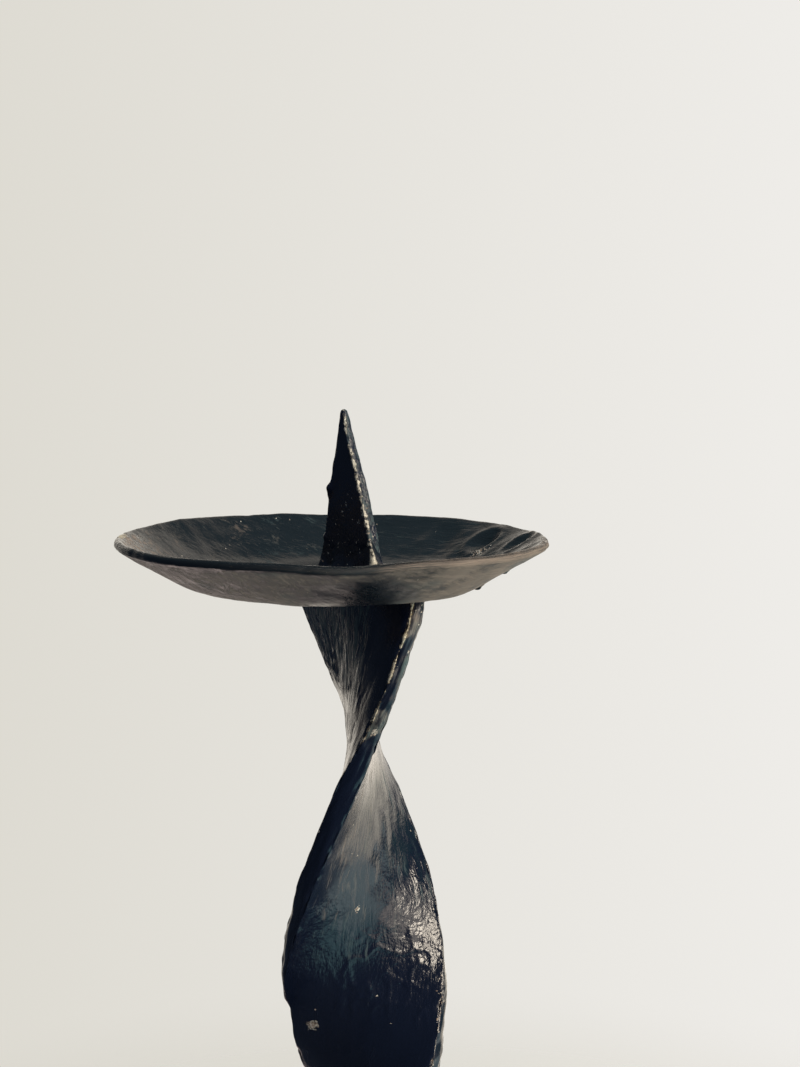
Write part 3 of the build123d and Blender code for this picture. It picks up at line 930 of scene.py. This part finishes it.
spike_arris = bell(np.hypot(np.abs(blade_across) - half_wide, np.abs(blade_depth) - half_thick), 0.8)
flat_blade = np.stack([blade_across, height, blade_depth * 6], axis=1)
draw = np.random.default_rng(41)
blow_spots = np.stack([
    draw.uniform(-9, 9, SPIKE_BLOWS), draw.uniform(0, 40, SPIKE_BLOWS), draw.choice([-1, 1], SPIKE_BLOWS) * 9.0,
], axis=1)
spike_marks = -hammer(
    flat_blade, blow_spots, draw.uniform(3, 7, SPIKE_BLOWS), draw.uniform(0.04, 0.13, SPIKE_BLOWS),
)
spike_marks += 0.035 * swell(flat_blade, 3.2, 42) + 0.012 * swell(flat_blade, 1.3, 43)
side_place = np.stack([np.sign(blade_across) * 30, height, blade_depth], axis=1)
spike_marks += 0.10 * bell(half_wide - np.abs(blade_across), 0.5) * swell(side_place, 2.0, 45)
spike_marks -= 0.16 * spike_arris * np.clip(swell(flat_blade, 1.5, 44) - 0.2, 0, None)
spike_marks *= np.clip(half_thick / 1.4, 0.15, 1)
for spot_across, spot_height, spot_depth, reach, tall in SPATTER:
    gap = np.sqrt((blade_across - spot_across) ** 2 + (height - spot_height) ** 2 + (blade_depth - spot_depth) ** 2)
    spike_marks += tall * bell(gap, reach)
spike_points = stand_blade(blade_across + face_across * spike_marks, blade_depth + face_through * spike_marks, height)
print(f"spike marks from {spike_marks.min():.2f} to {spike_marks.max():.2f} mm")

# %% One arris of the spike, worn bright, with a painted highlight
worn_glint_reach = 0.95 + 0.9 * np.clip(1 - height / 40, 0, 1)
front_arris = np.hypot(half_wide - blade_across, half_thick + blade_depth)
patchy = np.clip(0.80 + 0.14 * swell(side_place, 2.2, 46) + 0.14 * swell(side_place, 0.9, 47), 0, 1)
narrow_side = bell(half_wide - blade_across, 0.7)
spike = piece("pricket_blade", spike_points, closed_tube(spike_rings, spike_around), {
    "flow": np.stack([blade_across, height, blade_depth], axis=1),
    # Worn iron and painted highlight: the front arris takes pale bright iron where it would catch the light in a
    # broken glint
    "wear_and_glint": np.maximum(bell(front_arris, worn_glint_reach) * patchy, 0.35 * spike_arris),
    "bloom_and_painted_light": 0.05 + 0.60 * narrow_side,
    "tint": 1.0,
    "grit": 0.35 + 0.65 * narrow_side,
    "dull": 0.2 * narrow_side,
    "chips": 0.003 + 0.020 * bell(height - 5, 10) * (blade_depth < 0),
}, "lacquered_spike", "pricket_spike")

# %% [markdown]
# ## Welds
# A skirt of weld metal runs up from the pan's floor and holds the spike, and a bead under the foot holds the
# tenon. Welds could be joined to their neighbours with a boolean, but a closed loop of rings that dips into
# them looks the same and stays a clean mesh. Its ripples fade out where the skirt thins.

# %% Weld skirt round the spike's root
WELD_RISE = np.array((
    9.5, 8.7, 7.9, 7.1, 6.3, 5.5, 4.7, 3.9, 3.2, 2.6, 2.1, 1.6, 1.2, 0.8, 0.4, 0.0, -0.3, -0.3, 8.8,
))
WELD_SPREAD = np.array((
    -0.16, -0.10, -0.04, 0.03, 0.11, 0.21, 0.33, 0.49, 0.68, 0.92, 1.2, 1.55, 1.97, 2.45, 3.0, 3.6, 3.5, -0.6, -0.6,
))
SKIN_LEVELS = 16

sides, facing = iron_ring(60, 16)
weld_around = len(sides)
weld_rings = len(WELD_RISE)
rise = np.repeat(WELD_RISE, weld_around)
spread = np.repeat(WELD_SPREAD, weld_around)
side_across, side_through, face_across, face_through = stacked(sides, facing, weld_rings)
half_wide, half_thick, corner = blade(np.maximum(rise, 0), 0)
corner = corner + np.maximum(spread, 0)
weld_across = side_across * (half_wide + spread - corner) + face_across * corner
weld_depth = side_through * (half_thick + spread - corner) + face_through * corner
weld_flow = np.stack([weld_across, rise, weld_depth], axis=1)
on_skin = np.repeat(np.arange(weld_rings) < SKIN_LEVELS, weld_around)
ripple = 0.26 * swell(weld_flow, 2.6, 51) + 0.13 * swell(weld_flow, 1.2, 52)
ripple *= on_skin * np.clip((spread + 0.2) / 1.2, 0, 1)
climb = on_skin * np.clip(rise / 4, 0, 1) * 0.9 * swell(weld_flow * (1, 0, 1), 3.4, 53)
weld_points = stand_blade(
    weld_across + face_across * ripple, weld_depth + face_through * ripple, np.maximum(rise + climb, -0.3),
)
bright_corner = bell(np.hypot(half_wide + 0.6 - weld_across, half_thick + 0.6 + weld_depth), 2.0)
weld_wear = np.maximum(np.clip(ripple * 1.6, 0, 0.7), 0.95 * bright_corner)
spike_weld = piece("spike_weld_skirt", weld_points, ring_faces(weld_rings, weld_around, loop=True),
                   {"flow": weld_flow, "wear_and_glint": weld_wear, "grit": 0.6, "chips": 0.012},
                   "lacquered_weld", "spike_weld")

# %% Weld bead round the tenon under the foot
BEAD_DROP = np.array((-0.3, 0.0, 0.5, 1.0, 1.6, 2.2, 2.8, 3.2, 3.5, 3.5, 3.3, -0.3))
BEAD_SPREAD = np.array((5.0, 5.0, 4.8, 4.5, 4.1, 3.6, 3.0, 2.3, 1.4, 0.4, -0.3, -0.3))
CROWN_UNDERSIDE = FOOT_HEIGHT - FOOT_PLATE

bead_rings = len(BEAD_DROP)
drop = np.repeat(BEAD_DROP, weld_around)
spread = np.repeat(BEAD_SPREAD, weld_around)
side_across, side_through, face_across, face_through = stacked(sides, facing, bead_rings)
corner = TENON_CORNER + np.maximum(spread, 0)
bead_across = side_across * (TENON_WIDTH / 2 + spread - corner) + face_across * corner
bead_through = side_through * (TENON_THICKNESS / 2 + spread - corner) + face_through * corner
bead_flow = np.stack([bead_across, drop, bead_through], axis=1)
bead_ripple = (0.22 * swell(bead_flow, 2.4, 61) + 0.08 * swell(bead_flow, 1.2, 62)) * np.clip(spread / 1.5, 0, 1)
bead_points = twisted(bead_across + face_across * bead_ripple, bead_through + face_through * bead_ripple, 0 * drop)
bead_points[:, 2] = CROWN_UNDERSIDE - drop + 0.5 * bead_ripple * (drop > 0.2)
foot_weld = piece("foot_weld_bead", bead_points, ring_faces(bead_rings, weld_around, loop=True),
                  {"flow": bead_flow, "wear_and_glint": np.clip(bead_ripple * 1.6, 0, 0.7), "grit": 0.6, "chips": 0.01},
                  "lacquered_weld", "foot_weld")

# %% [markdown]
# ## Lacquer finishes
# The finish is thick black lacquer brushed over forged iron: a clear, glossy skin with an IOR near 1.5, almost
# black where it is looked at square on, and pale where it is looked at along the surface, because there it
# mirrors the wall. The colour can stay near black all over. What the eye reads as form comes from gloss, so
# most of the work goes into roughness and bump: brush drag, draw lines of the forge and pits of the scale.
# Image textures would need unwrapping, so noise in millimetres, laid along each piece's own flow, does the work.

# %% Brush grain, splits and wrinkles
WAVER_SIZE = 9.0
WAVER_REACH = 4.0
SPLIT_PACE = 0.45


def brushed_skin(tree, flow, marks, grain, grit, split_width):
    """Wavy coordinates, brush grain, the strands between splits, and the bump that they make."""
    grain_across, grain_along, grain_depth = grain
    grit_size, grit_depth = grit

    # Grain: draw lines of the forge and brush drag, long in one direction, and a little wavy
    waver = add(tree, "TexNoise", {"Vector": flow, "Scale": 1 / WAVER_SIZE, "Detail": 2.0}).outputs["Color"]
    drift = add(tree, "VectorMath", {0: waver, 1: (WAVER_REACH, 0.0, 0.0)}, operation="MULTIPLY").outputs[0]
    wavy = add(tree, "VectorMath", {0: flow, 1: drift}, operation="ADD").outputs[0]
    pace = (1 / grain_across, 1 / grain_along, 1 / grain_across)
    place = add(tree, "VectorMath", {0: wavy, 1: pace}, operation="MULTIPLY").outputs[0]
    grain = add(tree, "TexNoise", {"Vector": place, "Scale": 1.0, "Detail": 4.0, "Roughness": 0.65}).outputs[0]

    # Splits: thin dark lines between the strands of the grain, closed where the lacquer is dull
    split = add(tree, "TexNoise", {"Vector": place, "Scale": SPLIT_PACE, "Detail": 3.0}).outputs[0]
    off_middle = add(tree, "Math", {0: split, 1: 0.5}, operation="SUBTRACT").outputs[0]
    off_split = add(tree, "Math", {0: off_middle}, operation="ABSOLUTE").outputs[0]
    strand = add(tree, "MapRange", {"Value": off_split, "From Min": 0.010, "From Max": split_width}).outputs[0]
    whole = add(tree, "Math", {0: strand, 1: marks["dull"]}, operation="MAXIMUM").outputs[0]
    strands = add(tree, "Math", {0: whole, 1: marks["bloom_and_painted_light"], 2: grain}, operation="MULTIPLY_ADD").outputs[0]
    even = add(tree, "Math", {0: marks["dull"], 1: marks["smooth"]}, operation="MAXIMUM").outputs[0]
    calm = add(tree, "MapRange", {"Value": even, "To Min": 1.0, "To Max": 0.3}).outputs[0]
    grain_bump = add(tree, "Bump", {"Height": strands, "Strength": calm, "Distance": grain_depth * MM}).outputs[0]

    # Grit: small rounded lumps with creases between them, as in lacquer that has wrinkled
    lumps = add(tree, "TexVoronoi", {
        "Vector": wavy, "Scale": 1 / grit_size, "Detail": 1.0, "Roughness": 0.5, "Smoothness": 0.5,
    }, feature="SMOOTH_F1").outputs["Distance"]
    bump = add(tree, "Bump", {
        "Height": lumps, "Strength": marks["grit"], "Distance": grit_depth * MM, "Normal": grain_bump,
    }, invert=True).outputs[0]
    return wavy, grain, whole, bump


print(f"brush strokes waver by up to {WAVER_REACH:.0f} mm over {WAVER_SIZE:.0f} mm")

# %% Dry bloom on the lacquer, which in places paints reflection and shade
TAUPE_BLOOM_AND_PAINTED_LIGHT = paint("928378")
SLATE_BLOOM_AND_PAINTED_LIGHT = paint("4A5F62")
HUE_SIZE = 14.0


def bloom_and_painted_light_colour(tree, flow, marks, wavy, grain, whole, black, cloud):
    """Colour of the lacquer under a bloom, taupe to slate, in ragged clouds along the grain, and its mask. In places
    the same bloom paints reflection and shade.
    """
    cloud_across, cloud_along = cloud
    pace = (1 / cloud_across, 1 / cloud_along, 1 / cloud_across)
    place = add(tree, "VectorMath", {0: wavy, 1: pace}, operation="MULTIPLY").outputs[0]
    clouds = add(tree, "TexNoise", {"Vector": place, "Scale": 1.0, "Detail": 6.0, "Roughness": 0.62}).outputs[0]
    streaks = add(tree, "Math", {0: grain, 1: 0.45, 2: clouds}, operation="MULTIPLY_ADD").outputs[0]
    threshold = add(tree, "MapRange", {"Value": marks["bloom_and_painted_light"], "To Min": 1.02, "To Max": 0.52}).outputs[0]
    gap = add(tree, "Math", {0: streaks, 1: threshold}, operation="SUBTRACT").outputs[0]
    cover = add(tree, "MapRange", {"Value": gap, "From Min": -0.04, "From Max": 0.17}).outputs[0]
    mask = add(tree, "Math", {0: cover, 1: whole}, operation="MULTIPLY").outputs[0]
    hue = add(tree, "TexNoise", {"Vector": flow, "Scale": 1 / HUE_SIZE, "Detail": 3.0}).outputs[0]
    tinted = add(tree, "Math", {0: marks["tint"], 1: 0.4, 2: hue}, operation="MULTIPLY_ADD").outputs[0]
    hue_share = add(tree, "MapRange", {"Value": tinted, "From Min": 0.58, "From Max": 0.82}).outputs[0]
    bloom = add(tree, "Mix", {0: hue_share, 6: TAUPE_BLOOM_AND_PAINTED_LIGHT, 7: SLATE_BLOOM_AND_PAINTED_LIGHT}, data_type="RGBA").outputs[2]
    body = add(tree, "MapRange", {"Value": marks["bloom_and_painted_light"], "To Min": 0.25, "To Max": 0.85}).outputs[0]
    share = add(tree, "Math", {0: mask, 1: body}, operation="MULTIPLY").outputs[0]
    hazed = add(tree, "Mix", {0: share, 6: paint(black), 7: bloom}, data_type="RGBA").outputs[2]
    return hazed, mask


print(f"the bloom's hue changes over about {HUE_SIZE:.0f} mm")

# %% Wear and chips
CHIP_RUST = paint("867263")
CHIP_PALE = paint("D6D2C8")
CHIP_SIZE = 0.34
CRUMB_SIZE = 0.7


def bare_iron(tree, flow, marks, hazed, worn):
    """Colour where lacquer is worn or chipped off or bright iron paints a highlight, and the masks of bare places and
    of bright iron.
    """
    # Where worn: lacquer gone from the arrises, down to rust and bright iron, which on two arrises also paints a
    # highlight
    crumbs = add(tree, "TexNoise", {"Vector": flow, "Scale": 1 / CRUMB_SIZE, "Detail": 4.0, "Roughness": 0.65})
    bits = crumbs.outputs[0]
    bare = add(tree, "Math", {0: marks["wear_and_glint"], 1: bits}, operation="MULTIPLY").outputs[0]
    rust_mask = add(tree, "MapRange", {"Value": bare, "From Min": 0.28, "From Max": 0.36}).outputs[0]
    iron_mask = add(tree, "MapRange", {"Value": bare, "From Min": 0.34, "From Max": 0.42}).outputs[0]
    rusted = add(tree, "Mix", {0: rust_mask, 6: hazed, 7: paint(worn[0])}, data_type="RGBA").outputs[2]
    shiny = add(tree, "Mix", {0: iron_mask, 6: rusted, 7: paint(worn[1])}, data_type="RGBA").outputs[2]

    # Chips: crumbs of lacquer knocked off, one by one where they are few and all together in a bare spot
    ragged = add(tree, "VectorMath", {0: crumbs.outputs["Color"], 1: flow}, operation="ADD").outputs[0]
    crumb = add(tree, "TexVoronoi", {"Vector": ragged, "Scale": 1 / CHIP_SIZE}).outputs["Color"]
    luck = add(tree, "SeparateColor", {"Color": crumb}).outputs[0]
    chipped = add(tree, "Math", {0: luck, 1: marks["chips"]}, operation="LESS_THAN").outputs[0]
    chip_side = add(tree, "MapRange", {"Value": bits, "From Min": 0.42, "From Max": 0.62}).outputs[0]
    chip = add(tree, "Mix", {0: chip_side, 6: CHIP_RUST, 7: CHIP_PALE}, data_type="RGBA").outputs[2]
    colour = add(tree, "Mix", {0: chipped, 6: shiny, 7: chip}, data_type="RGBA").outputs[2]
    bare_any = add(tree, "Math", {0: rust_mask, 1: chipped}, operation="MAXIMUM").outputs[0]
    return colour, bare_any, iron_mask


print(f"chips are crumbs of {CHIP_SIZE} mm")

# %% One base for every lacquered piece
LACQUER_IOR = 1.5


def lacquered_iron(name, black, grain, grit, cloud, gloss, worn, split_width=0.05):
    """Black lacquer over forged iron, worn through to a dull and a bright colour.

    The sizes and depths of its grain, grit and clouds are millimetres, and gloss is its range of roughness.
    """
    finish = bpy.data.materials.new(name)
    finish.use_nodes = True
    tree = finish.node_tree
    tree.nodes.clear()
    flow = add(tree, "Attribute", {}, attribute_name="flow").outputs["Vector"]
    marks = {label: add(tree, "Attribute", {}, attribute_name=label).outputs["Fac"] for label in PLAIN_MARKS}
    wavy, grain, whole, bump = brushed_skin(tree, flow, marks, grain, grit, split_width)
    hazed, bloom_and_light_mask = bloom_and_painted_light_colour(tree, flow, marks, wavy, grain, whole, black, cloud)
    colour, bare_any, iron_mask = bare_iron(tree, flow, marks, hazed, worn)

    # Gloss: the brush leaves it uneven, and dull, hazy and bare places scatter more
    sheen = add(tree, "MapRange", {
        "Value": grain, "From Min": 0.30, "From Max": 0.70, "To Min": gloss[0], "To Max": gloss[1],
    }).outputs[0]
    matt = add(tree, "Math", {0: marks["dull"], 1: 0.45, 2: sheen}, operation="MULTIPLY_ADD").outputs[0]
    dry = add(tree, "Math", {0: bloom_and_light_mask, 1: 0.35, 2: matt}, operation="MULTIPLY_ADD").outputs[0]
    rough = add(tree, "Math", {0: bare_any, 1: 0.2, 2: dry}, operation="MULTIPLY_ADD").outputs[0]
    bright = add(tree, "Math", {0: iron_mask, 1: 0.4}, operation="MULTIPLY").outputs[0]
    skin = add(tree, "BsdfPrincipled", {
        "Base Color": colour, "Roughness": rough, "Metallic": bright, "IOR": LACQUER_IOR, "Normal": bump,
    })
    add(tree, "OutputMaterial", {"Surface": skin.outputs[0]})
    return finish


print(f"lacquer with an IOR of {LACQUER_IOR}")

# %% [markdown]
# ## Four lacquers
# The same tin of lacquer looks different on each kind of iron, so the base is mixed four times. Bristle lines
# are really about 0.2 mm apart. They are drawn at 0.7 to 1 mm, because finer ones would not show at this size.

# %% Lacquer on bar, plate, spike and weld
# Brushed along a drawn bar: long wet streaks and a blue-black depth, cream iron where an arris has worn through,
# which on the low arris also paints its glints
bar_lacquer = lacquered_iron(
    "brushed lacquer on forged bar", "101729", grain=(0.7, 8.0, 0.05), grit=(0.85, 0.075), cloud=(1.4, 7.0),
    gloss=(0.12, 0.28), worn=("6B5D47", "DBD3BF"),
)
# Thinner and drier on beaten plate: a slate black with broad hazy clouds and open splits along the brush
plate_lacquer = lacquered_iron(
    "lacquer on hammered plate", "11181F", grain=(0.9, 9.0, 0.08), grit=(1.0, 0.06), cloud=(4.5, 9.0),
    gloss=(0.14, 0.30), worn=("6B5D47", "D3CAB0"), split_width=0.095,
)
# Gritty on the narrow spike: a deep even black, with grey iron along the arris that candles have rubbed, which also
# paints the arris's highlight
spike_lacquer = lacquered_iron(
    "lacquer on forged spike", "141B2E", grain=(0.8, 5.0, 0.03), grit=(0.6, 0.10), cloud=(1.3, 2.2),
    gloss=(0.16, 0.34), worn=("565249", "CDCABF"),
)
# Lumpy on weld metal: no grain to follow, so the shine breaks into small dull spots
weld_lacquer = lacquered_iron(
    "lacquer on weld metal", "101624", grain=(1.0, 1.0, 0.05), grit=(0.8, 0.08), cloud=(2.5, 2.5),
    gloss=(0.20, 0.42), worn=("565249", "C6C1B4"),
)
for body, finish in (
    (stem, bar_lacquer), (pan, plate_lacquer), (runs, plate_lacquer), (foot, plate_lacquer),
    (spike, spike_lacquer), (spike_weld, weld_lacquer), (foot_weld, weld_lacquer),
):
    body.data.materials.append(finish)
print("finishes:", ", ".join(finish.name for finish in (bar_lacquer, plate_lacquer, spike_lacquer, weld_lacquer)))
